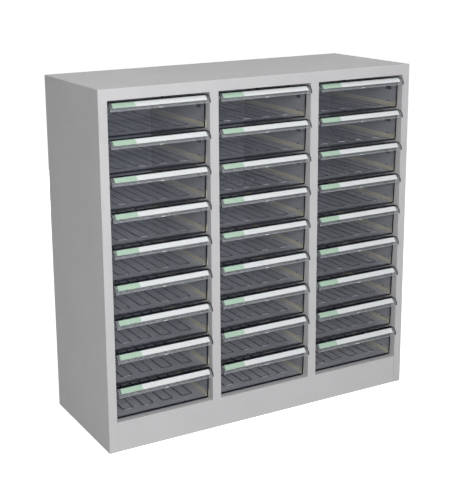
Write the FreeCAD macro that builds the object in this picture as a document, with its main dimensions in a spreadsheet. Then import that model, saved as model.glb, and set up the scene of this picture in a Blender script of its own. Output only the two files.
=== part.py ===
import FreeCAD, Part
import os
import re

import Sketcher
from FreeCAD import Vector

# Drawer cabinet: a folded steel carcass with three columns of nine clear plastic trays.
# Lengths are millimetres. X runs left to right, Y front to back and Z up from the floor.
# The origin lies on the floor, under the middle of the overall box.

COLUMNS = ("left", "middle", "right")
ROWS = 9
FLOOR_PANELS = 4

# Driving sizes: name, value, what it is.
DRIVING = (
    ("cabinet_width", 880, "carcass, outside"),
    ("cabinet_depth", 330, "carcass, front face to back face"),
    ("cabinet_height", 880, "carcass, floor to top"),
    ("sheet_gauge", 1, "steel sheet"),
    ("fold_radius", 1.5, "outside of a fold"),
    ("side_post_width", 22, "front face of a side"),
    ("divider_width", 23.5, "front face of a column divider"),
    ("top_rail_height", 27, "front face below the top"),
    ("plinth_height", 76, "floor to deck"),
    ("plinth_recess", 0.6, "plinth behind the posts"),
    ("seam_gap", 0.4, "plinth to post"),
    ("floor_return", 18, "folds that stand on the floor"),
    ("back_flange", 12, "folded edge of the back panel"),
    ("liner_fold", 16, "fold of an inner wall behind its post"),
    ("bay_top_gap", 3, "top rail to the cell of the first row"),
    ("drawer_recess", 16, "tray front behind the carcass front"),
    ("drawer_top_gap", 3, "tray top to the top of its cell"),
    ("drawer_bottom_gap", 2, "tray front to the bottom of its cell"),
    ("drawer_side_gap", 1.5, "tray front to the opening, at the top"),
    ("drawer_rear_gap", 11, "tray to the back panel"),
    ("tray_wall", 2, "wall, floor and handle plate"),
    ("tray_skirt", 4, "front plate below the floor"),
    ("tray_taper", 2.5, "narrowing of each side towards the bottom"),
    ("tray_side_drop", 10, "side walls below the front plate"),
    ("tray_corner", 3, "cut-off lower corners of the front plate"),
    ("panel_margin", 28, "floor panel to the side wall"),
    ("panel_gap", 23, "floor panel to floor panel"),
    ("panel_rise", 0.8, "floor panel above the floor"),
    ("panel_front", 32, "front plate to the floor panels"),
    ("panel_rear", 14, "floor panels to the rear wall"),
    ("handle_ledge", 3.5, "level part behind the slope"),
    ("handle_run", 17.5, "slope, forwards"),
    ("handle_drop", 11.5, "slope, downwards"),
    ("handle_nose", 3, "turned-down edge of the slope"),
    ("cheek_width", 2, "end plate of the handle"),
    ("cheek_proud", 0.4, "end plate above the label cover"),
    ("cover_thickness", 1.6, "label cover"),
    ("cover_lip", 6.5, "label cover below the slope"),
    ("cover_radius", 2.5, "front edge of the cover"),
    ("cover_play", 0.2, "cover to cheek"),
    ("tab_width", 10, "snap tab on the cover"),
    ("tab_height", 2.5, "snap tab on the cover"),
    ("tab_reach", 1, "snap tab on the cover"),
    ("card_width", 16, "label card, up the slope"),
    ("card_thickness", 0.4, "label card"),
    ("card_margin", 7, "card to the end of the cover"),
    ("card_edge", 2, "card to the top of the slope"),
    ("runner_thickness", 2, "both legs"),
    ("runner_ledge", 10, "level leg"),
    ("runner_rise", 9, "upright leg"),
    ("runner_play", 0.3, "tray above the ledge"),
    ("runner_front_gap", 3, "runner behind the front plate"),
    ("runner_rear_gap", 16, "runner to the back face"),
    ("stop_length", 8, "stop tab and stop lug, front to back"),
    ("stop_height", 8, "stop tab above the upright leg"),
    ("stop_reach", 2.4, "lug beyond the side wall"),
    ("stop_gap", 0.5, "lug to tab at full travel, and over the runner"),
    ("lug_rear", 40.5, "lug to the back of the tray"),
    ("slot_length", 24, "upper slot in the inner walls"),
    ("slot_height", 9, "upper slot in the inner walls"),
    ("slot_drop", 36, "middle of the upper slot below the cell top"),
    ("slot_front", 57, "middle of the front slots behind the carcass front"),
    ("slot_rear", 73, "middle of the rear slots before the carcass back"),
    ("slit_length", 10, "lower slot, over the runner"),
    ("slit_height", 3, "lower slot, over the runner"),
    ("slit_gap", 0.5, "lower slot to the runner"),
)

# Sizes worked out from those above.
WORKED = (
    (
        "opening_width",
        f"(cabinet_width - 2 * side_post_width - {len(COLUMNS) - 1} * divider_width) / {len(COLUMNS)}",
    ),
    ("column_pitch", "opening_width + divider_width"),
    ("row_pitch", f"(cabinet_height - top_rail_height - plinth_height - bay_top_gap) / {ROWS}"),
    ("handle_reach", "handle_ledge + handle_run + cover_thickness + max(tab_reach; cheek_proud)"),
    ("front_y", "(handle_reach - drawer_recess - cabinet_depth) / 2"),
    ("tray_front_y", "front_y + drawer_recess"),
    ("tray_height", "row_pitch - drawer_top_gap - drawer_bottom_gap"),
    ("tray_length", "cabinet_depth - sheet_gauge - drawer_rear_gap - drawer_recess"),
    ("tray_half_top", "opening_width / 2 - drawer_side_gap"),
    ("tray_half_bottom", "tray_half_top - tray_taper"),
    ("tray_flare", "tray_taper / tray_height"),
    ("tray_side_top", "tray_height - tray_side_drop"),
    ("tray_floor_top", "tray_skirt + tray_wall"),
    ("floor_half", "tray_half_bottom + tray_flare * tray_floor_top - tray_wall"),
    ("panel_pitch", f"(2 * floor_half - 2 * panel_margin + panel_gap) / {FLOOR_PANELS}"),
    ("slope_factor", "sqrt(handle_run ^ 2 + handle_drop ^ 2) / handle_run"),
    ("plate_drop", "tray_wall * slope_factor"),
    ("cover_drop", "cover_thickness * slope_factor"),
    ("ledge_z", "tray_height - cover_drop - cheek_proud"),
    ("nose_y", "handle_ledge + handle_run"),
    ("nose_z", "ledge_z - handle_drop"),
    ("lip_z", "nose_z - cover_lip"),
    ("slope_fall", "handle_drop / handle_run"),
    ("cover_length", "2 * (tray_half_top - cheek_width - cover_play)"),
    ("card_run", "card_width / slope_factor"),
    ("card_start", "handle_ledge + card_edge / slope_factor"),
    ("card_drop", "card_thickness * slope_factor"),
    ("runner_length", "cabinet_depth - runner_rear_gap - runner_front_y"),
    ("runner_front_y", "drawer_recess + tray_wall + runner_front_gap"),
    ("runner_z", "drawer_bottom_gap + tray_skirt - runner_play - runner_thickness"),
    ("lug_front", "tray_length - lug_rear - stop_length"),
    ("drawer_travel", "lug_front - runner_front_gap - tray_wall - stop_length - stop_gap"),
    ("lug_z", "tray_skirt - runner_play - runner_thickness + runner_rise + stop_gap"),
    ("slit_z", "runner_z + runner_rise + slit_gap + slit_height / 2"),
)

doc = FreeCAD.newDocument("drawer_cabinet")


# Sheets

def fill_sheet(name, rows):
    """Make a sheet with a name, a value and an alias in each row."""
    sheet = doc.addObject("Spreadsheet::Sheet", name)
    for number, (alias, content, note) in enumerate(rows, start=1):
        sheet.set(f"A{number}", alias)
        sheet.set(f"B{number}", content)
        sheet.set(f"C{number}", note)
        sheet.setAlias(f"B{number}", alias)
    return sheet


HOME = {alias: "sizes" for alias, _, _ in DRIVING}
HOME.update({alias: "worked" for alias, _ in WORKED})


def formula(text):
    """The expression for a text in plain size names."""
    return re.sub(r"[a-z_]+", lambda name: f"{HOME[name[0]]}.{name[0]}" if name[0] in HOME else name[0], text)


sizes = fill_sheet("sizes", [(alias, str(number), note) for alias, number, note in DRIVING])
worked = fill_sheet("worked", [(alias, "=" + formula(text), "") for alias, text in WORKED])
doc.recompute()


def value(text):
    """The present value of a text in plain size names."""
    return float(sizes.evalExpression(formula(text)))


# Modelling steps

def new_body(label):
    body = doc.addObject("PartDesign::Body", label)
    body.Label = label
    body.AllowCompound = True
    return body


def place(thing, x="0", y="0", z="0"):
    """Bind an object's place to the sheets."""
    for axis, text in zip("xyz", (x, y, z)):
        thing.setExpression(f"Placement.Base.{axis}", formula(text))


def origin_feature(body, role):
    return next(feature for feature in body.Origin.OriginFeatures if feature.Role == role)


def outline(body, plane, *loops, offset="0"):
    """A sketch on one of the body's planes, of closed loops whose corners are pairs of texts."""
    sketch = body.newObject("Sketcher::SketchObject", "outline")
    sketch.AttachmentSupport = (origin_feature(body, plane), [""])
    sketch.MapMode = "FlatFace"
    sketch.setExpression("AttachmentOffset.Base.z", formula(offset))
    for corners in loops:
        points = [Vector(value(across), value(up), 0) for across, up in corners]
        sides = [
            sketch.addGeometry(Part.LineSegment(start, end))
            for start, end in zip(points, points[1:] + points[:1])
        ]
        for side, following, (across, up) in zip(sides, sides[1:] + sides[:1], corners):
            sketch.addConstraint(Sketcher.Constraint("Coincident", side, 2, following, 1))
            for kind, text in (("DistanceX", across), ("DistanceY", up)):
                number = sketch.addConstraint(Sketcher.Constraint(kind, -1, 1, side, 1, value(text)))
                sketch.setExpression(f"Constraints[{number}]", formula(text))
    return sketch


def box_corners(left, right, low, high):
    return [(left, low), (right, low), (right, high), (left, high)]


def extrude(body, kind, name, sketch, length, middle=False, reverse=False):
    """A pad or a pocket of a sketch, checked to change the volume."""
    before = body.Shape.Volume if body.Tip else 0
    feature = body.newObject(f"PartDesign::{kind}", name)
    feature.Profile = sketch
    feature.setExpression("Length", formula(length))
    feature.Midplane = middle
    feature.Reversed = reverse
    doc.recompute()
    grown = body.Shape.Volume - before
    if (grown > 0) != (kind == "Pad"):
        raise RuntimeError(f"{body.Label} {name} changes the volume by {grown}")
    return feature


def pad(body, name, sketch, length, **how):
    return extrude(body, "Pad", name, sketch, length, **how)


def pocket(body, name, sketch, length, **how):
    return extrude(body, "Pocket", name, sketch, length, **how)


def repeat(body, name, axis, gap, count, features=()):
    """A row of copies along an axis: of the features named, or else of the whole body."""
    pattern = body.newObject("PartDesign::LinearPattern", name)
    pattern.TransformMode = "Features" if features else "Whole shape"
    pattern.Originals = list(features)
    pattern.Direction = (origin_feature(body, axis), [""])
    pattern.Mode = "Spacing"
    pattern.Occurrences = count
    pattern.setExpression("Offset", formula(gap))
    body.Tip = pattern
    doc.recompute()


def mirror(body, name, features=()):
    """The same on the other side of the middle: the features named, or else the whole body."""
    image = body.newObject("PartDesign::Mirrored", name)
    image.TransformMode = "Features" if features else "Whole shape"
    image.Originals = list(features)
    image.MirrorPlane = (origin_feature(body, "YZ_Plane"), [""])
    body.Tip = image
    doc.recompute()


def soften(body, name, radius, wanted):
    """Round the edges of the body that a test picks."""
    base = body.Tip
    picked = [f"Edge{number}" for number, edge in enumerate(base.Shape.Edges, start=1) if wanted(edge)]
    if not picked:
        raise RuntimeError(f"{body.Label} {name} finds no edge")
    fillet = body.newObject("PartDesign::Fillet", name)
    fillet.Base = (base, picked)
    fillet.setExpression("Radius", formula(radius))
    doc.recompute()


def near(found, expected):
    return abs(found - expected) < 0.01


# Carcass

def make_shell():
    """Top, sides, front posts and top rail, folded from one sheet."""
    body = new_body("cabinet_shell")
    block = outline(body, "XY_Plane", box_corners("0", "cabinet_width", "0", "cabinet_depth"))
    pad(body, "block", block, "cabinet_height")
    inside = outline(
        body,
        "XY_Plane",
        box_corners("sheet_gauge", "cabinet_width - sheet_gauge", "sheet_gauge", "2 * cabinet_depth"),
        offset="sheet_gauge",
    )
    pocket(body, "inside", inside, "cabinet_height - 2 * sheet_gauge", reverse=True)
    returns = "sheet_gauge + floor_return"
    underneath = outline(
        body,
        "XY_Plane",
        box_corners(returns, f"cabinet_width - ({returns})", "sheet_gauge", "2 * cabinet_depth"),
    )
    pocket(body, "underneath", underneath, "sheet_gauge", reverse=True)
    post, rail = "side_post_width", "cabinet_height - top_rail_height"
    window = outline(body, "XZ_Plane", box_corners(post, f"cabinet_width - {post}", "0", rail))
    pocket(body, "window", window, "sheet_gauge")

    wide, deep, high = value("cabinet_width"), value("cabinet_depth"), value("cabinet_height")

    def on_fold(edge):
        middle = edge.CenterOfMass
        on_top = near(middle.z, high) and (near(middle.y, 0) or near(middle.y, deep / 2))
        on_post = near(middle.y, 0) and (near(middle.x, 0) or near(middle.x, wide))
        return on_top or on_post

    soften(body, "folds", "fold_radius", on_fold)
    place(body, "-cabinet_width / 2", "front_y")
    return body


def make_back_panel():
    """Back sheet with its four edges folded forwards, inside the shell."""
    body = new_body("back_panel")
    for name, edge, start, shape in (
        ("block", "sheet_gauge", "cabinet_depth", pad),
        ("inside", "2 * sheet_gauge", "cabinet_depth - back_flange", pocket),
    ):
        face = outline(
            body,
            "XZ_Plane",
            box_corners(edge, f"cabinet_width - {edge}", edge, f"cabinet_height - {edge}"),
            offset=f"-({start})",
        )
        shape(body, name, face, "back_flange" if shape is pad else "back_flange - sheet_gauge")
    place(body, "-cabinet_width / 2", "front_y")
    return body


def make_base():
    """Plinth, deck and floor return, folded from one sheet."""
    body = new_body("base_plinth")
    front, back = "plinth_recess", "cabinet_depth - sheet_gauge"
    section = outline(
        body,
        "YZ_Plane",
        [
            (front, "0"),
            (f"{front} + floor_return", "0"),
            (f"{front} + floor_return", "sheet_gauge"),
            (f"{front} + sheet_gauge", "sheet_gauge"),
            (f"{front} + sheet_gauge", "plinth_height - sheet_gauge"),
            (f"{back} - sheet_gauge", "plinth_height - sheet_gauge"),
            (f"{back} - sheet_gauge", "plinth_height - floor_return"),
            (back, "plinth_height - floor_return"),
            (back, "plinth_height"),
            (front, "plinth_height"),
        ],
    )
    pad(body, "fold", section, "cabinet_width - 2 * side_post_width - 2 * seam_gap")
    place(body, "side_post_width + seam_gap - cabinet_width / 2", "front_y")
    return body


def cut_slots(body):
    """The slots behind the trays, through every wall of a body and in each row."""
    upper, lower = "plinth_height + row_pitch - slot_drop", "plinth_height + slit_z"
    holes = [
        box_corners(f"{y} - {length} / 2", f"{y} + {length} / 2", f"{z} - {height} / 2", f"{z} + {height} / 2")
        for y, length, z, height in (
            ("slot_front", "slot_length", upper, "slot_height"),
            ("cabinet_depth - slot_rear", "slot_length", upper, "slot_height"),
            ("slot_front", "slit_length", lower, "slit_height"),
        )
    ]
    cut = pocket(body, "slots", outline(body, "YZ_Plane", *holes), "cabinet_width", middle=True)
    repeat(body, "rows", "Z_Axis", "row_pitch", ROWS, [cut])


def make_side_liners():
    """Inner walls of the outer columns, each with a fold behind its post."""
    body = new_body("side_liners")
    wall, back = "side_post_width - cabinet_width / 2", "cabinet_depth - back_flange"
    fold = f"{wall} - liner_fold"
    section = outline(
        body,
        "XY_Plane",
        [
            (fold, "sheet_gauge"),
            (wall, "sheet_gauge"),
            (wall, back),
            (f"{wall} - sheet_gauge", back),
            (f"{wall} - sheet_gauge", "2 * sheet_gauge"),
            (fold, "2 * sheet_gauge"),
        ],
        offset="sheet_gauge",
    )
    pad(body, "wall", section, "cabinet_height - 2 * sheet_gauge")
    mirror(body, "right_wall")
    cut_slots(body)
    place(body, "0", "front_y")
    return body


def make_dividers():
    """Hollow channels between the columns, with the top rail let into their fronts."""
    body = new_body("column_dividers")
    middle, back = f"{1 - len(COLUMNS) / 2} * column_pitch", "cabinet_depth - back_flange"
    left, right = f"{middle} - divider_width / 2", f"{middle} + divider_width / 2"
    section = outline(
        body,
        "XY_Plane",
        [
            (left, "0"),
            (right, "0"),
            (right, back),
            (f"{right} - sheet_gauge", back),
            (f"{right} - sheet_gauge", "sheet_gauge"),
            (f"{left} + sheet_gauge", "sheet_gauge"),
            (f"{left} + sheet_gauge", back),
            (left, back),
        ],
        offset="plinth_height",
    )
    pad(body, "channel", section, "cabinet_height - sheet_gauge - plinth_height")
    rail = outline(body, "XZ_Plane", box_corners(left, right, "cabinet_height - top_rail_height", "cabinet_height"))
    pocket(body, "rail_notch", rail, "sheet_gauge")
    repeat(body, "dividers", "X_Axis", "column_pitch", len(COLUMNS) - 1)
    cut_slots(body)
    place(body, "0", "front_y")
    return body


def make_runners():
    """Plastic angles that carry the trays, one on each side of every cell."""
    body = new_body("drawer_runners")
    wall, low = "side_post_width - cabinet_width / 2", "plinth_height + runner_z"
    upright, top = f"{wall} + runner_thickness", f"{low} + runner_rise"
    section = outline(
        body,
        "XZ_Plane",
        [
            (wall, low),
            (f"{wall} + runner_ledge", low),
            (f"{wall} + runner_ledge", f"{low} + runner_thickness"),
            (upright, f"{low} + runner_thickness"),
            (upright, top),
            (wall, top),
        ],
        offset="-runner_front_y",
    )
    pad(body, "angle", section, "runner_length", reverse=True)
    stop = outline(
        body, "XZ_Plane", box_corners(wall, upright, top, f"{top} + stop_height"), offset="-runner_front_y"
    )
    pad(body, "stop", stop, "stop_length", reverse=True)
    repeat(body, "columns", "X_Axis", "column_pitch", len(COLUMNS))
    repeat(body, "rows", "Z_Axis", "row_pitch", ROWS)
    mirror(body, "right_runners")
    place(body, "0", "front_y")
    return body


# Drawers, modelled with the middle of the lower front edge at the origin

def half_width(height):
    """Half the outside width of a tray at a height."""
    return f"(tray_half_bottom + tray_flare * ({height}))"


def tapered(low, high, inset="0"):
    """The corners of a tray's cross-section between two heights."""
    lower, upper = f"{half_width(low)} - {inset}", f"{half_width(high)} - {inset}"
    return [(f"-({lower})", low), (lower, low), (upper, high), (f"-({upper})", high)]


def make_tray():
    """One moulding: box, front plate, sloped handle with end cheeks, floor panels and stop lugs."""
    body = new_body("tray")
    box = outline(body, "XZ_Plane", tapered("tray_skirt", "tray_side_top"))
    pad(body, "box", box, "tray_length", reverse=True)
    inside = outline(
        body,
        "XZ_Plane",
        tapered("tray_floor_top", "tray_height", inset="tray_wall"),
        offset="-tray_wall",
    )
    pocket(body, "inside", inside, "tray_length - 2 * tray_wall")
    foot, shoulder = "tray_half_bottom - tray_corner", half_width("tray_corner")
    front = outline(
        body,
        "XZ_Plane",
        [
            (f"-({foot})", "0"),
            (foot, "0"),
            (shoulder, "tray_corner"),
            ("tray_half_top", "tray_height"),
            ("-tray_half_top", "tray_height"),
            (f"-{shoulder}", "tray_corner"),
        ],
    )
    pad(body, "front", front, "tray_wall", reverse=True)

    under = "ledge_z - plate_drop"
    inner_nose = ("tray_wall - nose_y", "nose_z + tray_wall * slope_fall - plate_drop")
    plate = outline(
        body,
        "YZ_Plane",
        [
            ("tray_wall", "tray_height"),
            ("0", "tray_height"),
            ("0", "ledge_z"),
            ("-handle_ledge", "ledge_z"),
            ("-nose_y", "nose_z"),
            ("-nose_y", "nose_z - handle_nose"),
            ("tray_wall - nose_y", "nose_z - handle_nose"),
            inner_nose,
            ("-handle_ledge", under),
            ("tray_wall", under),
        ],
    )
    pad(body, "handle", plate, "2 * tray_half_top", middle=True)
    cheek_front = "nose_y + cover_thickness + cheek_proud"
    cheek = outline(
        body,
        "YZ_Plane",
        [
            ("tray_wall", "tray_height"),
            ("-handle_ledge", "tray_height"),
            (f"-({cheek_front})", f"tray_height - slope_fall * ({cheek_front} - handle_ledge)"),
            (f"-({cheek_front})", "lip_z"),
            ("tray_wall - nose_y", "lip_z"),
            inner_nose,
            ("-handle_ledge", under),
            ("tray_wall", under),
        ],
        offset="tray_half_top - cheek_width",
    )
    cheeks = [pad(body, "cheek", cheek, "cheek_width")]
    lug = outline(
        body,
        "XZ_Plane",
        box_corners(
            f"{half_width('lug_z')} - tray_wall / 2",
            f"{half_width('lug_z')} + stop_reach",
            "lug_z",
            "lug_z + stop_height - stop_gap",
        ),
        offset="-lug_front",
    )
    lugs = [pad(body, "lug", lug, "stop_length", reverse=True)]
    mirror(body, "other_side", cheeks + lugs)

    panel = outline(
        body,
        "XY_Plane",
        box_corners(
            "panel_margin - floor_half",
            "panel_margin - floor_half + panel_pitch - panel_gap",
            "tray_wall + panel_front",
            "tray_length - tray_wall - panel_rear",
        ),
        offset="tray_floor_top",
    )
    panels = [pad(body, "panel", panel, "panel_rise")]
    repeat(body, "panels", "X_Axis", "panel_pitch", FLOOR_PANELS, panels)
    return body


def slope_height(reach):
    """Height of the handle plate at a distance in front of the tray."""
    return f"ledge_z - slope_fall * ({reach} - handle_ledge)"


def card_corners():
    end = "card_start + card_run"
    return [
        ("-card_start", slope_height("card_start")),
        ("-card_start", f"{slope_height('card_start')} + card_drop"),
        (f"-({end})", f"{slope_height(end)} + card_drop"),
        (f"-({end})", slope_height(end)),
    ]


def make_label_cover():
    """Clear strip over the card, with a lip in front of the handle and a snap tab."""
    body = new_body("label_cover")
    front = "nose_y + cover_thickness"
    section = outline(
        body,
        "YZ_Plane",
        [
            ("-handle_ledge", "ledge_z"),
            ("-handle_ledge", "ledge_z + cover_drop"),
            (f"-({front})", f"{slope_height(front)} + cover_drop"),
            (f"-({front})", "lip_z"),
            ("-nose_y", "lip_z"),
            ("-nose_y", "nose_z"),
        ],
    )
    pad(body, "strip", section, "cover_length", middle=True)
    corner = value(front)
    corner_z = value(f"{slope_height(front)} + cover_drop")
    soften(
        body,
        "front_edge",
        "cover_radius",
        lambda edge: near(edge.CenterOfMass.y, -corner) and near(edge.CenterOfMass.z, corner_z),
    )
    tab = outline(
        body,
        "YZ_Plane",
        box_corners(f"-({front} + tab_reach)", f"-({front})", "lip_z", "lip_z + tab_height"),
    )
    pad(body, "tab", tab, "tab_width", middle=True)
    seat = outline(body, "YZ_Plane", card_corners())
    pocket(body, "card_seat", seat, "cover_length - 2 * card_margin", middle=True)
    return body


def make_label_card():
    """Paper card under the cover."""
    body = new_body("label_card")
    section = outline(body, "YZ_Plane", card_corners())
    pad(body, "card", section, "cover_length - 2 * card_margin", middle=True)
    return body


def make_drawers():
    """A tray and a label in every cell, row 1 at the top."""
    tray, label_pieces = make_tray(), [make_label_cover(), make_label_card()]
    made = []
    for number, column in enumerate(COLUMNS):
        for row in range(1, ROWS + 1):
            copy = doc.addObject("PartDesign::FeatureBase", "copy")
            copy.BaseFeature = tray
            drawer = new_body(f"tray_{column}_{row}")
            drawer.Group = [copy]
            drawer.Tip = copy
            label = doc.addObject("Part::Compound", f"label_{column}_{row}")
            label.Label = f"label_{column}_{row}"
            label.Links = label_pieces
            for thing in (drawer, label):
                place(
                    thing,
                    f"{number - (len(COLUMNS) - 1) / 2} * column_pitch",
                    "tray_front_y",
                    f"plinth_height + {ROWS - row} * row_pitch + drawer_bottom_gap",
                )
            made += [drawer, label]
    return made


def write(things):
    """Check every object and write each sub-part to its own file."""
    doc.recompute()
    for thing in doc.Objects:
        if {"Invalid", "Error"} & set(thing.State):
            raise RuntimeError(f"{thing.Label} is in error: {thing.State}")
    os.makedirs("parts", exist_ok=True)
    for thing in things:
        if thing.Shape.isNull() or not thing.Shape.isValid() or not thing.Shape.Solids:
            raise RuntimeError(f"{thing.Label} has no valid solid")
        thing.Shape.exportStep(f"parts/{thing.Label}.step")


write(
    [
        make_shell(),
        make_back_panel(),
        make_base(),
        make_side_liners(),
        make_dividers(),
        make_runners(),
    ]
    + make_drawers()
)
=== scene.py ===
import math

import bmesh
import bpy
from mathutils import Matrix, Vector


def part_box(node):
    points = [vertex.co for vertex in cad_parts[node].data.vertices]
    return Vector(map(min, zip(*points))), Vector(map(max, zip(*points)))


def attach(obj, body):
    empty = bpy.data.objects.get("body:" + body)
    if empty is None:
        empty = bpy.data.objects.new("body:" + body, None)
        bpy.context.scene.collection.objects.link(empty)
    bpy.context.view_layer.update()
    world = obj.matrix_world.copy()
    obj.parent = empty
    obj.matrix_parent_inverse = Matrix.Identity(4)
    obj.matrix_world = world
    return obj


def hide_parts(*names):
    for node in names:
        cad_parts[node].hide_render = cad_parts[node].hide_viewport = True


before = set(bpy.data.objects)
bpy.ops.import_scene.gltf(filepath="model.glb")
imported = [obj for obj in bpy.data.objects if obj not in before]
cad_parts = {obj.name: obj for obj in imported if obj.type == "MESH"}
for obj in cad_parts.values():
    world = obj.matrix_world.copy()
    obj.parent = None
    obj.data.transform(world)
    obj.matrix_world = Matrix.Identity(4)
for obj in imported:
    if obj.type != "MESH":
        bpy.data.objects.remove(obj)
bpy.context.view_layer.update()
bpy.context.scene.view_settings.view_transform = "Standard"


# Camera: a little higher than the cabinet and to the left of its front, looking down on it.
# The shift brings the cabinet to its place in the picture, with its sides nearly upright.

camera_place = Vector((-1.3676, -2.3367, 1.2000))
camera_turn, camera_dip, camera_roll = (
    math.radians(angle) for angle in (-28.2652, 13.1657, -0.8063)
)
ahead = Vector((
    -math.sin(camera_turn) * math.cos(camera_dip),
    math.cos(camera_turn) * math.cos(camera_dip),
    -math.sin(camera_dip),
))
level = ahead.cross(Vector((0, 0, 1))).normalized()
upward = level.cross(ahead)
rolled_level = math.cos(camera_roll) * level + math.sin(camera_roll) * upward
rolled_upward = math.cos(camera_roll) * upward - math.sin(camera_roll) * level
bpy.ops.object.select_all(action="DESELECT")
bpy.ops.object.camera_add(location=camera_place)
camera = bpy.context.object
camera.rotation_euler = Matrix((rolled_level, rolled_upward, -ahead)).transposed().to_euler()
camera.data.lens = 76.9
camera.data.shift_x, camera.data.shift_y = 0.06, -0.12
bpy.context.scene.camera = camera


# Studio: a white sweep all round, a large soft lamp overhead, a lower one at the front left
# that lights the insides of the trays, one behind, and a white floor with a faint shadow.

def new_finish(name, values=None):
    """A new material, with plain values for some inputs of its surface shader."""
    finish = bpy.data.materials.new(name)
    finish.use_nodes = True
    surface = finish.node_tree.nodes["Principled BSDF"]
    for entry, value in (values or {}).items():
        surface.inputs[entry].default_value = value
    return finish


def seen_directly(tree):
    """One where a ray comes from the camera, a mirror or a clear piece, and nought elsewhere."""
    ray = tree.nodes.new("ShaderNodeLightPath")
    seen = ray.outputs["Is Camera Ray"]
    for other in ("Is Glossy Ray", "Is Transmission Ray"):
        either = tree.nodes.new("ShaderNodeMath")
        either.operation = "MAXIMUM"
        tree.links.new(seen, either.inputs[0])
        tree.links.new(ray.outputs[other], either.inputs[1])
        seen = either.outputs[0]
    return seen


white, fill_strength, sweep_strength = (1, 1, 1, 1), 0.18, 1
sweep = bpy.data.worlds.new("studio_sweep")
bpy.context.scene.world = sweep
sweep.use_nodes = True
nodes, links = sweep.node_tree.nodes, sweep.node_tree.links
fill_light, white_sweep = nodes["Background"], nodes.new("ShaderNodeBackground")
for light, strength in ((fill_light, fill_strength), (white_sweep, sweep_strength)):
    light.inputs["Color"].default_value = white
    light.inputs["Strength"].default_value = strength
sweep_mix = nodes.new("ShaderNodeMixShader")
links.new(seen_directly(sweep.node_tree), sweep_mix.inputs["Fac"])
links.new(fill_light.outputs[0], sweep_mix.inputs[1])
links.new(white_sweep.outputs[0], sweep_mix.inputs[2])
links.new(sweep_mix.outputs[0], nodes["World Output"].inputs["Surface"])

lamp_target = Vector((0, 0, 0.45))
overhead = (0.4, -0.9, 3.2), 2.2, 30
front_left = (-1.35, -2.9, 1.5), 1.2, 80
behind = (0.6, 3.0, 0.5), 1.2, 30
for lamp_place, lamp_size, lamp_power in (overhead, front_left, behind):
    bpy.ops.object.light_add(type="AREA", location=lamp_place)
    lamp = bpy.context.object
    lamp.rotation_euler = (lamp_target - lamp.location).to_track_quat("-Z", "Y").to_euler()
    lamp.data.shape = "SQUARE"
    lamp.data.size = lamp_size
    lamp.data.energy = lamp_power

floor_drop, floor_glow = 0.0005, 0.9
bpy.ops.object.select_all(action="DESELECT")
bpy.ops.mesh.primitive_plane_add(size=40, location=(0, 0, -floor_drop))
floor = bpy.context.object
floor.name = "studio_floor"
bpy.ops.object.transform_apply(location=True, rotation=True, scale=True)
floor_white = new_finish("floor_white", {
    "Base Color": (0.6, 0.6, 0.6, 1), "Roughness": 0.9, "Specular IOR Level": 0.1,
})
nodes, links = floor_white.node_tree.nodes, floor_white.node_tree.links
glow = nodes.new("ShaderNodeEmission")
glow.inputs["Color"].default_value = white
glow_share = nodes.new("ShaderNodeMath")
glow_share.operation = "MULTIPLY"
glow_share.inputs[1].default_value = floor_glow
floor_sum = nodes.new("ShaderNodeAddShader")
links.new(seen_directly(floor_white.node_tree), glow_share.inputs[0])
links.new(glow_share.outputs[0], glow.inputs["Strength"])
links.new(nodes["Principled BSDF"].outputs[0], floor_sum.inputs[0])
links.new(glow.outputs[0], floor_sum.inputs[1])
links.new(floor_sum.outputs[0], nodes["Material Output"].inputs["Surface"])
floor.data.materials.append(floor_white)


# Carcass: shell, back panel, base, inner walls and dividers, all of 1 mm steel sheet.
# It is folded, spot-welded and sprayed in one pale grey powder coat with a fine orange peel.
# The faces inside the hollows behind the inner walls, and the base's faces that face across, are
# painted near black as painted shade, so the slots show dark.

noise_low, noise_high = 0.3, 0.7


def grain(finish, scale, detail=2.0, roughness=0.5):
    """A noise on the piece's own coordinates, in metres, mostly between its low and its high."""
    nodes, links = finish.node_tree.nodes, finish.node_tree.links
    place = nodes.new("ShaderNodeTexCoord")
    noise = nodes.new("ShaderNodeTexNoise")
    noise.inputs["Scale"].default_value = scale
    noise.inputs["Detail"].default_value = detail
    noise.inputs["Roughness"].default_value = roughness
    links.new(place.outputs["Object"], noise.inputs["Vector"])
    return noise.outputs["Fac"]


def tint(finish, pattern, dark, light, low=noise_low, high=noise_high):
    """Colour a finish between two shades, after a pattern."""
    nodes, links = finish.node_tree.nodes, finish.node_tree.links
    ramp = nodes.new("ShaderNodeValToRGB")
    first, last = ramp.color_ramp.elements
    first.position, last.position = low, high
    first.color, last.color = (*dark, 1), (*light, 1)
    links.new(pattern, ramp.inputs["Fac"])
    links.new(ramp.outputs["Color"], nodes["Principled BSDF"].inputs["Base Color"])


def scuff(finish, pattern, low, high):
    """Vary the roughness of a finish between two limits, after a pattern."""
    nodes, links = finish.node_tree.nodes, finish.node_tree.links
    span = nodes.new("ShaderNodeMapRange")
    for entry, value in (
        ("From Min", noise_low), ("From Max", noise_high), ("To Min", low), ("To Max", high),
    ):
        span.inputs[entry].default_value = value
    links.new(pattern, span.inputs["Value"])
    links.new(span.outputs["Result"], nodes["Principled BSDF"].inputs["Roughness"])


def emboss(finish, pattern, strength, depth):
    """Give a finish a bump of a depth in metres, after a pattern."""
    nodes, links = finish.node_tree.nodes, finish.node_tree.links
    bump = nodes.new("ShaderNodeBump")
    bump.inputs["Strength"].default_value = strength
    bump.inputs["Distance"].default_value = depth
    links.new(pattern, bump.inputs["Height"])
    links.new(bump.outputs["Normal"], nodes["Principled BSDF"].inputs["Normal"])


powder_coat = new_finish("powder_coat", {"Specular IOR Level": 0.25})
tint(powder_coat, grain(powder_coat, 7, 4), (0.498, 0.494, 0.504), (0.524, 0.520, 0.530))
scuff(powder_coat, grain(powder_coat, 45, 3), 0.50, 0.62)
emboss(powder_coat, grain(powder_coat, 750), 0.12, 0.0002)

# A near-black finish, as painted shade in the hollows and on the base's faces that face across.
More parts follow.
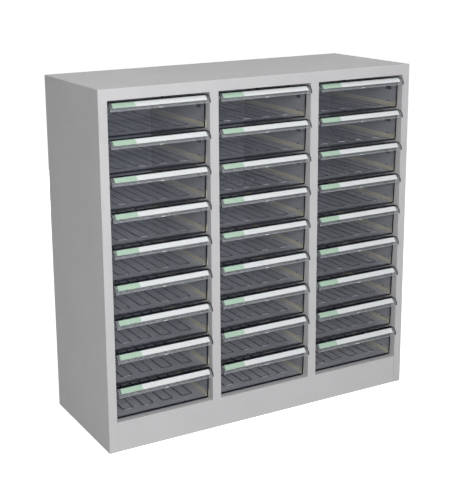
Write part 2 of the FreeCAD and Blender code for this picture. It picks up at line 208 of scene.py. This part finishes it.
painted_shade_coat = new_finish("painted_shade_coat", {"Specular IOR Level": 0.2})
tint(painted_shade_coat, grain(painted_shade_coat, 60, 4), (0.010, 0.010, 0.012), (0.022, 0.022, 0.025))
scuff(painted_shade_coat, grain(painted_shade_coat, 120, 3), 0.5, 0.7)

# Each sheet's test takes a face's place and the way it faces, both across the cabinet.
half_gauge, shell_inside, liner_side = 0.0005, 0.439, 0.418
divider_near, divider_far = 0.1315, 0.155
square_on = 0.9
shaded_faces = {
    "cabinet_shell": lambda across, facing: (
        abs(abs(across) - shell_inside) < half_gauge and facing * across < 0
    ),
    "side_liners": lambda across, facing: (
        abs(across) > liner_side + half_gauge and facing * across > 0
    ),
    "column_dividers": lambda across, facing: (
        divider_near + half_gauge < abs(across) < divider_far - half_gauge
        and abs(facing) > square_on
    ),
    # The base's faces that face across get the painted shade too.
    "base_plinth": lambda across, facing: abs(facing) > square_on,
    "back_panel": lambda across, facing: False,
}
for sheet, in_painted_shade in shaded_faces.items():
    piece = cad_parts[sheet]
    piece.data.materials.clear()
    piece.data.materials.append(powder_coat)
    piece.data.materials.append(painted_shade_coat)
    for face in piece.data.polygons:
        face.material_index = 1 if in_painted_shade(face.center.x, face.normal.x) else 0


# Runners: cream plastic angles, moulded, two to a tray, clipped to the inner walls.
# They are plain and a little waxy, and they show through the trays.

runner_cream = new_finish("runner_cream")
tint(runner_cream, grain(runner_cream, 18, 3), (0.82, 0.77, 0.54), (0.90, 0.85, 0.62))
scuff(runner_cream, grain(runner_cream, 160), 0.36, 0.5)
emboss(runner_cream, grain(runner_cream, 420), 0.1, 0.0002)
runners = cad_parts["drawer_runners"]
runners.data.materials.clear()
runners.data.materials.append(runner_cream)


# Trays: one clear smoke-grey plastic moulding each, with a tapered box, a front plate, a floor
# with four long panels, a sloped handle between two cheeks, and a stop lug on each side.
# The clear walls are 2 mm thick; wherever they are seen edge on, they are painted near black as
# painted shade.

tray_length, tray_height, tray_wall, edge_round = 0.302, 0.081, 0.002, 0.0003
half_top, half_bottom = 0.130, 0.1275
skirt, floor_top, side_top = 0.004, 0.006, 0.071
flare = (half_top - half_bottom) / tray_height
ledge, slope_run, slope_drop, nose_drop = 0.0075, 0.0145, 0.0145, 0.002
slope_factor = math.hypot(slope_run, slope_drop) / slope_run
slope_fall = slope_drop / slope_run
cover_thick, cover_lip, cheek_proud, cheek_width = 0.001, 0.0025, 0.0002, 0.002
ledge_z = tray_height - cover_thick * slope_factor - cheek_proud
nose_y, nose_z = -(ledge + slope_run), ledge_z - slope_drop
lip_z = nose_z - cover_lip
plate_under = ledge_z - tray_wall * slope_factor

# The clear plastic's bluish tint is partly its own smoke colour and partly a painted reflection.
smoke_clear = new_finish("smoke_clear", {"Specular IOR Level": 1, "Alpha": 0.1})
tint(smoke_clear, grain(smoke_clear, 22, 3), (0.140, 0.156, 0.210), (0.165, 0.182, 0.240))
scuff(smoke_clear, grain(smoke_clear, 60, 3), 0.08, 0.16)
emboss(smoke_clear, grain(smoke_clear, 35, 1), 0.04, 0.0005)

# A near-black copy of the smoke plastic, as painted shade on rims, edges, outlines and the ledge.
smoke_edge_shade = new_finish("smoke_edge_shade", {"Specular IOR Level": 0.15})
tint(smoke_edge_shade, grain(smoke_edge_shade, 90), (0.004, 0.005, 0.011), (0.008, 0.009, 0.018))
scuff(smoke_edge_shade, grain(smoke_edge_shade, 200), 0.2, 0.32)

# A pale copy of the smoke plastic, as painted light on the floors, the panel tops and the cheek
# flats.
smoke_pale_lit = new_finish("smoke_pale_lit", {"Specular IOR Level": 1, "Alpha": 0.42})
tint(smoke_pale_lit, grain(smoke_pale_lit, 14, 3), (0.78, 0.80, 0.85), (0.87, 0.89, 0.94))
scuff(smoke_pale_lit, grain(smoke_pale_lit, 60, 3), 0.12, 0.22)

# The front ends of the floor panels carry a painted glint here and there, and painted shade
# elsewhere.
smoke_glint = new_finish("smoke_glint", {"Roughness": 0.12, "Metallic": 1})
tint(smoke_glint, grain(smoke_glint, 12), (0.02, 0.02, 0.03), (0.72, 0.74, 0.78), 0.44, 0.54)

# A lighter, bluish copy of the smoke plastic, as painted light on the rear wall.
smoke_rear_lit = new_finish("smoke_rear_lit", {"Alpha": 0.25})
tint(smoke_rear_lit, grain(smoke_rear_lit, 14, 3), (0.40, 0.45, 0.58), (0.46, 0.51, 0.64))
scuff(smoke_rear_lit, grain(smoke_rear_lit, 60, 3), 0.1, 0.2)

smoke = smoke_clear, smoke_edge_shade, smoke_pale_lit, smoke_glint, smoke_rear_lit
clear_face, edge_shade_face, pale_lit_face, glint_face, rear_lit_face = range(len(smoke))


def half_width(height):
    """Half the outside width of a tray at a height."""
    return half_bottom + flare * height


def start(shape, name, scale, **where):
    """Add a primitive at its size and place, with nothing else selected, and open it."""
    bpy.ops.object.select_all(action="DESELECT")
    getattr(bpy.ops.mesh, f"primitive_{shape}_add")(size=1, **where)
    piece = bpy.context.object
    piece.name, piece.scale = name, scale
    bpy.ops.object.transform_apply(location=True, rotation=True, scale=True)
    bpy.ops.object.mode_set(mode="EDIT")
    return piece


def pick(kind, wanted):
    """In an open piece, select only the verts, edges or faces whose middle a test picks."""
    bpy.ops.mesh.select_mode(type={"verts": "VERT", "edges": "EDGE", "faces": "FACE"}[kind])
    bpy.ops.mesh.select_all(action="DESELECT")
    shape = bmesh.from_edit_mesh(bpy.context.edit_object.data)
    for item in getattr(shape, kind):
        corners = [item] if kind == "verts" else item.verts
        middle = sum((corner.co for corner in corners), Vector()) / len(corners)
        item.select_set(bool(wanted(middle, item)))
    bmesh.update_edit_mesh(bpy.context.edit_object.data)


def draw(*move):
    """Extrude what is selected in an open piece, and move it."""
    bpy.ops.mesh.extrude_region_move(TRANSFORM_OT_translate={"value": move})


def widen(share):
    """Scale what is selected in an open piece across the tray."""
    bpy.ops.transform.resize(value=(share, 1, 1), center_override=(0, 0, 0))


def turn_out():
    """Turn all faces of an open piece outwards."""
    bpy.ops.mesh.select_all(action="SELECT")
    bpy.ops.mesh.normals_make_consistent(inside=False)


def close():
    """Close the open piece."""
    bpy.ops.object.mode_set(mode="OBJECT")


def modify(piece, kind, **settings):
    """Add a modifier to a piece and apply it."""
    bpy.context.view_layer.objects.active = piece
    modifier = piece.modifiers.new(kind.lower(), kind)
    for setting, amount in settings.items():
        setattr(modifier, setting, amount)
    bpy.ops.object.modifier_apply(modifier=modifier.name)


def thicken(piece, thickness, outwards):
    """Make a plate of a folded sheet, above the sheet or below it."""
    faces_up = sum(face.normal.z for face in piece.data.polygons) > 0
    offset = 1 if faces_up == outwards else -1
    modify(piece, "SOLIDIFY", thickness=thickness, offset=offset, use_even_offset=True)


def soften(piece, angle):
    """Round those edges of a piece that turn by more than an angle."""
    limit = math.radians(angle)
    modify(piece, "BEVEL", width=edge_round, segments=2, limit_method="ANGLE", angle_limit=limit)


def paint(piece, finishes, which=lambda middle, face: 0):
    """Give a piece its finishes, each face the one whose number a test of it gives."""
    for finish in finishes:
        piece.data.materials.append(finish)
    for face in piece.data.polygons:
        face.material_index = which(face.center, face)


def weld(piece, *others):
    """Fuse other pieces into one, as the mould does."""
    modify(piece, "TRIANGULATE")
    for other in others:
        modify(other, "TRIANGULATE")
        modify(piece, "BOOLEAN", operation="UNION", object=other, solver="EXACT")
        bpy.data.objects.remove(other)


def smooth(piece):
    """Shade a piece smooth, apart from its sharp edges."""
    bpy.ops.object.select_all(action="DESELECT")
    piece.select_set(True)
    bpy.context.view_layer.objects.active = piece
    bpy.ops.object.shade_smooth_by_angle(angle=math.radians(30))


# The box: floor, side walls and rear wall, drawn in towards the bottom so that trays stack.
# Its front end is tucked into the front plate, and it is a hair narrower.
near, tuck, box_play = 1e-5, 0.001, 0.0001
rear_corner, floor_corner = 0.004, 0.0015
box_middle = (skirt + side_top) / 2
tray = start(
    "cube", "tray_mould",
    location=(0, (tuck + tray_length) / 2, box_middle),
    scale=(2 * half_width(skirt) - box_play, tray_length - tuck, side_top - skirt),
)
pick("verts", lambda middle, vert: middle.z > side_top - near)
widen(half_width(side_top) / half_width(skirt))
pick("edges", lambda middle, edge: (
    abs(middle.z - box_middle) < near and middle.y > tray_length / 2
))
bpy.ops.mesh.bevel(offset=rear_corner, segments=4)
pick("edges", lambda middle, edge: middle.z < skirt + near and middle.y > tuck)
bpy.ops.mesh.bevel(offset=floor_corner, segments=2)
pick("faces", lambda middle, face: face.normal.z > square_on)
bpy.ops.mesh.inset(thickness=tray_wall)
draw(0, 0, floor_top - side_top)
floor_half = half_width(floor_top) - tray_wall
widen(floor_half / (half_width(side_top) - tray_wall))
close()


def box_finish(middle, face):
    """Painted shade on the rim, painted light on the floor, lighter bluish painted light on the
    rear wall, and clear elsewhere.
    """
    if middle.z > side_top - 10 * near:
        return edge_shade_face
    if face.normal.z > square_on:
        return pale_lit_face
    if abs(face.normal.y) > square_on and middle.y > tray_length / 2:
        return rear_lit_face
    return clear_face


paint(tray, smoke, box_finish)

# The front plate stands higher than the walls. Its lower corners are rounded, and its rim is
# painted shade.
plate_corner, plate_rim, pane_area = 0.005, 0.0038, 0.01
front = start(
    "cube", "tray_front",
    location=(0, tray_wall / 2, tray_height / 2), scale=(2 * half_bottom, tray_wall, tray_height),
)
pick("verts", lambda middle, vert: middle.z > tray_height - near)
widen(half_top / half_bottom)
pick("edges", lambda middle, edge: middle.z < near and abs(middle.x) > half_bottom / 2)
bpy.ops.mesh.bevel(offset=plate_corner, segments=5)
pick("faces", lambda middle, face: abs(face.normal.y) > square_on)
bpy.ops.mesh.inset(thickness=plate_rim)
close()
paint(front, smoke, lambda middle, face: clear_face if face.area > pane_area else edge_shade_face)

# The floor panels, long and raised, with rounded corners, a painted dark outline of shade and a
# slanted front end.
panel_count, panel_margin, panel_gap = 4, 0.028, 0.023
panel_pitch = (2 * floor_half - 2 * panel_margin + panel_gap) / panel_count
panel_width = panel_pitch - panel_gap
front_space, rear_space, panel_lift = 0.025, 0.014, 0.0002
panel_front, panel_back = tray_wall + front_space, tray_length - tray_wall - rear_space
panel_z, panel_thick, panel_area = floor_top + panel_lift, 0.0012, 0.003
panel_corner, panel_line, panel_slant, panel_end = 0.006, 0.0042, 0.0003, 0.001
downwards, forwards = -0.5, -0.8
panels = []
for number in range(panel_count):
    panel_left = panel_margin - floor_half + number * panel_pitch
    panel_x = panel_left + panel_width / 2

    def panel_finish(middle, face):
        """Clear below, painted light on top, a painted glint on the front end, and painted shade
        all round.
        """
        if face.normal.z < downwards:
            return clear_face
        if face.area > panel_area:
            return pale_lit_face
        if face.normal.y < forwards and abs(middle.x - panel_x) < panel_end:
            return glint_face
        return edge_shade_face

    panel = start(
        "cube", "tray_panel",
        location=(panel_x, (panel_front + panel_back) / 2, panel_z),
        scale=(panel_width, panel_back - panel_front, panel_thick),
    )
    pick("edges", lambda middle, edge: abs(middle.z - panel_z) < near)
    bpy.ops.mesh.bevel(offset=panel_corner, segments=5)
    pick("verts", lambda middle, vert: middle.z > panel_z and middle.y < panel_front + near)
    bpy.ops.transform.translate(value=(0, panel_slant, 0))
    pick("faces", lambda middle, face: face.normal.z > square_on)
    bpy.ops.mesh.inset(thickness=panel_line)
    close()
    paint(panel, smoke, panel_finish)
    panels.append(panel)

# The handle: a level ledge, the slope that carries the label, and a turned-down nose.
handle_play, ledge_depth = 0.0008, 0.0005
handle = start(
    "plane", "tray_handle",
    location=(0, (tuck - ledge) / 2, ledge_z),
    scale=(2 * half_top - handle_play, tuck + ledge, 1),
)
pick("edges", lambda middle, edge: middle.y < -ledge + near)
draw(0, -slope_run, -slope_drop)
draw(0, 0, -nose_drop)
turn_out()
close()
thicken(handle, tray_wall, False)
soften(handle, 30)
# The ledge is painted near black, as painted shade in the gap between trays.
paint(handle, smoke, lambda middle, face: (
    edge_shade_face if middle.z > ledge_z - ledge_depth and middle.y > -ledge else clear_face
))

# The cheeks close the handle at both ends, with a quarter round that stands proud of the cover.
# They are a hair lower than the front plate, painted near black at the edges as painted shade, and
# pale on the flats as painted light.
cheek_level, cheek_round, cheek_steps = 0.007, 0.0166, 9
cheek_play, cheek_rim, dead_flat = 0.00005, 0.0012, 0.99
cheek_top = tray_height - cheek_play
nose_under = nose_z + tray_wall * slope_fall - tray_wall * slope_factor
cheeks = []
for side in (-1, 1):
    cheek_x = side * (half_top - cheek_width)
    cheek = start(
        "plane", "tray_cheek",
        location=(cheek_x, (tuck - cheek_level) / 2, (plate_under + cheek_top) / 2),
        rotation=(0, math.pi / 2, 0), scale=(cheek_top - plate_under, tuck + cheek_level, 1),
    )
    pick("edges", lambda middle, edge: middle.y < -cheek_level + near)
    for step in range(1, cheek_steps + 1):
        turn, along = math.pi / 2 * (1 - step / cheek_steps), step / cheek_steps
        draw(0, 0, 0)
        shape = bmesh.from_edit_mesh(cheek.data)
        ends = [vert for vert in shape.verts if vert.select]
        outer, inner = sorted(ends, key=lambda vert: -vert.co.z)
        outer.co.y = -cheek_level - cheek_round * math.cos(turn)
        outer.co.z = cheek_top - cheek_round * (1 - math.sin(turn))
        inner.co.y = -ledge + along * (nose_y + tray_wall + ledge)
        inner.co.z = plate_under + along * (nose_under - plate_under) - near
        bmesh.update_edit_mesh(cheek.data)
    draw(0, 0, lip_z - cheek_top + cheek_round)
    bpy.ops.mesh.select_all(action="SELECT")
    draw(side * cheek_width, 0, 0)
    turn_out()
    close()
    soften(cheek, 50)
    paint(cheek, smoke, lambda middle, face: edge_shade_face)
    bpy.ops.object.mode_set(mode="EDIT")
    pick("faces", lambda middle, face: abs(face.normal.x) > dead_flat)
    bpy.ops.mesh.inset(thickness=cheek_rim)
    cheek.active_material_index = pale_lit_face
    bpy.ops.object.material_slot_assign()
    close()
    cheeks.append(cheek)

# The stop lugs run over the runners, and catch on them when the tray is right out.
lug_length, lug_height, lug_reach, lug_corner = 0.008, 0.0075, 0.0024, 0.0008
lug_z, lug_rear = 0.0112, 0.0405
lug_y = tray_length - lug_rear - lug_length
lug_root, lug_end = half_width(lug_z) - tray_wall / 2, half_width(lug_z) + lug_reach
lugs = []
for side in (-1, 1):
    lug = start(
        "cube", "tray_lug",
        location=(
            side * (lug_root + lug_end) / 2, lug_y + lug_length / 2, lug_z + lug_height / 2,
        ),
        scale=(lug_end - lug_root, lug_length, lug_height),
    )
    pick("edges", lambda middle, edge: abs(middle.x) > lug_end - near)
    bpy.ops.mesh.bevel(offset=lug_corner, segments=2)
    close()
    paint(lug, smoke)
    lugs.append(lug)

weld(tray, front, handle, *cheeks, *lugs, *panels)
smooth(tray)


# Label covers: clear plastic strips, folded over the slope and the nose of a handle and
# snapped on there, with a rounded front edge and a small tab in the middle of the lip.

cover_clear = new_finish("cover_clear", {"Specular IOR Level": 1, "Alpha": 0.08})
tint(cover_clear, grain(cover_clear, 30, 3), (0.60, 0.66, 0.64), (0.70, 0.75, 0.73))
scuff(cover_clear, grain(cover_clear, 80), 0.06, 0.14)
emboss(cover_clear, grain(cover_clear, 50, 1), 0.03, 0.0004)

# A pale finish, as a painted highlight on the tab and the cut edges of the cover.
tab_painted_highlight = new_finish("tab_painted_highlight", {"Roughness": 0.3, "Alpha": 0.7})
tint(tab_painted_highlight, grain(tab_painted_highlight, 200), (0.60, 0.64, 0.63), (0.72, 0.75, 0.74))

# A grey finish, as painted light on the front of the lip.
lip_painted_light = new_finish("lip_painted_light", {"Roughness": 0.25, "Alpha": 0.4})
tint(lip_painted_light, grain(lip_painted_light, 120), (0.40, 0.42, 0.46), (0.50, 0.52, 0.56))

clear = cover_clear, tab_painted_highlight, lip_painted_light
strip_face, highlight_face, lip_light_face = range(len(clear))
cover_play, fold_round, tilt = 0.0002, 0.0008, math.atan(slope_fall)
cover_length = 2 * (half_top - cheek_width - cover_play)
cover = start(
    "plane", "cover_mould",
    location=(0, (nose_y - ledge) / 2, (ledge_z + nose_z) / 2),
    rotation=(tilt, 0, 0), scale=(cover_length, math.hypot(slope_run, slope_drop), 1),
)
pick("edges", lambda middle, edge: middle.y < nose_y + near)
draw(0, 0, -cover_lip)
turn_out()
close()
thicken(cover, cover_thick, True)
bpy.ops.object.mode_set(mode="EDIT")
pick("edges", lambda middle, edge: (
    abs(middle.x) < near and middle.y < nose_y - cover_thick / 2
    and middle.z > lip_z + cover_lip / 2
))
bpy.ops.mesh.bevel(offset=fold_round, segments=5)
close()


def cover_finish(middle, face):
    """A painted highlight on the cut edges, painted light on the front of the lip, and clear
    elsewhere.
    """
    if middle.z < lip_z + 10 * near or abs(face.normal.x) > square_on:
        return highlight_face
    return lip_light_face if face.normal.y < -square_on else strip_face


paint(cover, clear, cover_finish)
tab_width, tab_depth, tab_height, tab_proud = 0.010, 0.001, 0.002, 0.0001
cover_front = nose_y - cover_thick
tab = start(
    "cube", "cover_tab",
    location=(0, cover_front - tab_proud, lip_z + tab_height / 2),
    scale=(tab_width, tab_depth, tab_height),
)
pick("edges", lambda middle, edge: middle.y < cover_front - tab_depth / 2)
bpy.ops.mesh.bevel(offset=edge_round, segments=2)
close()
paint(tab, clear, lambda middle, face: highlight_face)
weld(cover, tab)
smooth(cover)


# Label cards: strips of paper under the covers, printed pale green for the first quarter
# and left white on the rest, with a fine fibre in the sheet.

card_white = new_finish("card_white", {"Roughness": 0.8})
tint(card_white, grain(card_white, 420, 4, 0.6), (0.68, 0.70, 0.71), (0.75, 0.77, 0.78))
emboss(card_white, grain(card_white, 900, 3), 0.1, 0.0001)

card_green = new_finish("card_green", {"Roughness": 0.8})
tint(card_green, grain(card_green, 420, 4, 0.6), (0.36, 0.52, 0.40), (0.41, 0.58, 0.45))
emboss(card_green, grain(card_green, 900, 3), 0.1, 0.0001)

card_margin, card_width, card_thick, card_edge, card_aside = 0.007, 0.0135, 0.0004, 0.0008, 0.003
card_length = cover_length - 2 * card_margin
card_reach = ledge + (card_edge + card_width / 2) / slope_factor
card = start(
    "cube", "card_mould",
    location=(
        card_aside,
        -card_reach - card_thick / 2 * math.sin(tilt),
        ledge_z - slope_fall * (card_reach - ledge) + card_thick / 2 * math.cos(tilt),
    ),
    rotation=(tilt, 0, 0), scale=(card_length, card_width, card_thick),
)
green_reach = 0.060
green_end = -card_length / 2 + green_reach
bpy.ops.mesh.select_all(action="SELECT")
bpy.ops.mesh.bisect(plane_co=(green_end, 0, 0), plane_no=(1, 0, 0))
turn_out()
close()
paint(card, (card_white, card_green), lambda middle, face: 1 if middle.x < green_end - near else 0)


# Drawers: the tray, its cover and its card, once for each cell of the cabinet.
# Each stands on its two runners and slides out on them as one.

def copy_to(mould, name, shift):
    """A copy of a moulded piece with a mesh of its own, at its place."""
    piece = bpy.data.objects.new(name, mould.data.copy())
    piece.data.transform(Matrix.Translation(shift))
    bpy.context.collection.objects.link(piece)
    return piece


for column in ("left", "middle", "right"):
    for row in range(1, 10):
        low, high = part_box(f"tray_{column}_{row}")
        shift = Vector(((low.x + high.x) / 2, high.y - tray_length, low.z))
        body = f"drawer_{column}_{row}"
        smoke_tray = copy_to(tray, f"smoke_tray_{column}_{row}", shift)
        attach(smoke_tray, body)
        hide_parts(f"tray_{column}_{row}")
        clear_cover = copy_to(cover, f"label_cover_{column}_{row}", shift)
        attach(clear_cover, body)
        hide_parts(f"label_{column}_{row}")
        paper_card = copy_to(card, f"label_card_{column}_{row}", shift)
        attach(paper_card, body)
for mould in (tray, cover, card):
    bpy.data.objects.remove(mould)
